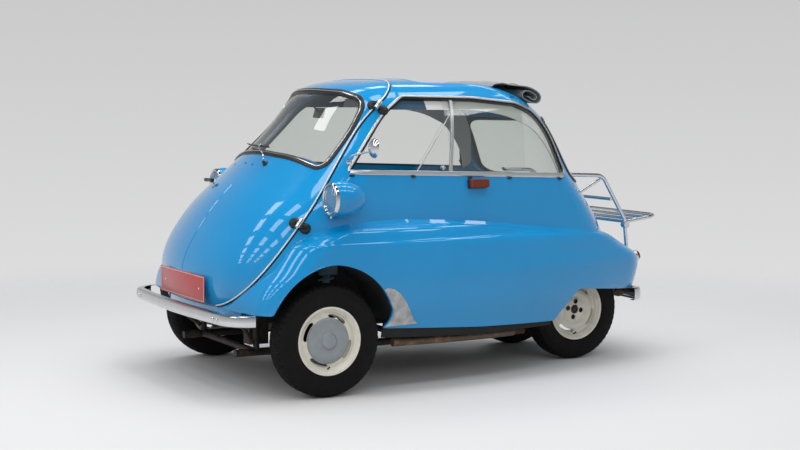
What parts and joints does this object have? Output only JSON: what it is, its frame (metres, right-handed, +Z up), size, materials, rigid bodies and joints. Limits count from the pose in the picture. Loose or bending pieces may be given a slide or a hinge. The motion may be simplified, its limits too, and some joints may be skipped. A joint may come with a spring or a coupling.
{
  "type": "bubble car",
  "caption": "Small four-wheeled bubble car with a front-opening door, close-set rear wheels, rolled fabric sunroof and a luggage rack.",
  "frame": {"origin": "on the ground, under the middle of the whole car", "axes": "+X to the front of the car, +Y to its left, +Z up"},
  "size_m": [2.4574, 1.4012, 1.342],
  "materials": {
    "paint_body": "gloss",
    "paint_frame": "satin",
    "paint_wheel": "gloss",
    "chrome": "polished",
    "aluminium": "satin",
    "tyre": "matt",
    "rubber": "matt",
    "glass": "clear",
    "fabric_seat": "woven",
    "fabric_roof": "woven",
    "cast_alloy": "cast",
    "black_steel": "satin",
    "bare_steel": "brushed",
    "wheel_plastic": "gloss",
    "lens_amber": "clear",
    "lens_red": "clear",
    "paint_red": "gloss"
  },
  "bodies": {
    "body": {"cabin_shell": "paint_body", "left_side_panel": "paint_body", "right_side_panel": "paint_body", "tail_panel": "paint_body", "floor_pan": "paint_frame", "front_wheelhouses": "paint_frame", "rear_bulkhead": "paint_frame", "side_windows": "glass", "rear_window": "glass", "front_axle": "black_steel", "chassis_frame": "black_steel", "rear_axle_casing": "cast_alloy", "engine_block": "cast_alloy", "exhaust": "bare_steel", "seat_cushion": "fabric_seat", "seat_back": "fabric_seat", "steering_box": "black_steel", "controls": "black_steel", "hinge_posts": "chrome", "headlights": "chrome", "side_lamps": "lens_amber", "tail_lamps": "lens_red", "wing_mirror": "chrome", "front_bumper": "chrome", "rear_bumper": "chrome", "luggage_rack": "chrome", "sunroof_roll": "fabric_roof"},
    "door": {"front_door": "paint_body", "windscreen": "glass", "hinge_arms": "chrome", "dash_panel": "paint_body", "steering_column": "black_steel", "wiper": "chrome", "door_handle": "chrome", "front_plate": "paint_red"},
    "steering_wheel": {"steering_wheel": "wheel_plastic"},
    "left_knuckle": {"left_knuckle": "black_steel"},
    "right_knuckle": {"right_knuckle": "black_steel"},
    "left_front_wheel": {"left_front_rim": "paint_wheel", "left_front_tyre": "tyre"},
    "right_front_wheel": {"right_front_rim": "paint_wheel", "right_front_tyre": "tyre"},
    "rear_wheels": {"rear_wheel_set": "paint_wheel", "rear_tyres": "tyre"},
    "engine_lid": {"engine_lid": "paint_body"}
  },
  "joints": [
    {"name": "door_hinge", "type": "hinge", "parent": "body", "child": "door", "pos_m": [0.88024, 0.58552, 0.735], "axis": [-0.6551, -0.2051, 0.7272], "range_deg": [0, 85]},
    {"name": "left_steer", "type": "hinge", "parent": "body", "child": "left_knuckle", "pos_m": [0.77075, 0.53, 0.24], "axis": [0, 0, 1], "range_deg": [-30, 30]},
    {"name": "right_steer", "type": "hinge", "parent": "body", "child": "right_knuckle", "pos_m": [0.77075, -0.53, 0.24], "axis": [0, 0, 1], "range_deg": [-30, 30]},
    {"name": "steering_wheel_turn", "type": "hinge", "parent": "door", "child": "steering_wheel", "pos_m": [0.44875, 0.25, 0.748], "axis": [-0.7624, 0, 0.6472], "range_deg": [-330, 330]},
    {"name": "left_front_spin", "type": "hinge", "parent": "left_knuckle", "child": "left_front_wheel", "pos_m": [0.77075, 0.6, 0.24], "axis": [0, 1, 0], "continuous": true},
    {"name": "right_front_spin", "type": "hinge", "parent": "right_knuckle", "child": "right_front_wheel", "pos_m": [0.77075, -0.6, 0.24], "axis": [0, 1, 0], "continuous": true},
    {"name": "rear_spin", "type": "hinge", "parent": "body", "child": "rear_wheels", "pos_m": [-0.72925, 0, 0.24], "axis": [0, 1, 0], "continuous": true},
    {"name": "engine_lid_hinge", "type": "hinge", "parent": "body", "child": "engine_lid", "pos_m": [-0.25325, -0.60238, 0.582], "axis": [-0.9782, 0.2078, 0], "range_deg": [0, 75]}
  ],
  "couplings": [
    {"joint": "right_steer", "follows": "left_steer", "ratio": 1},
    {"joint": "steering_wheel_turn", "follows": "left_steer", "ratio": 11}
  ]
}
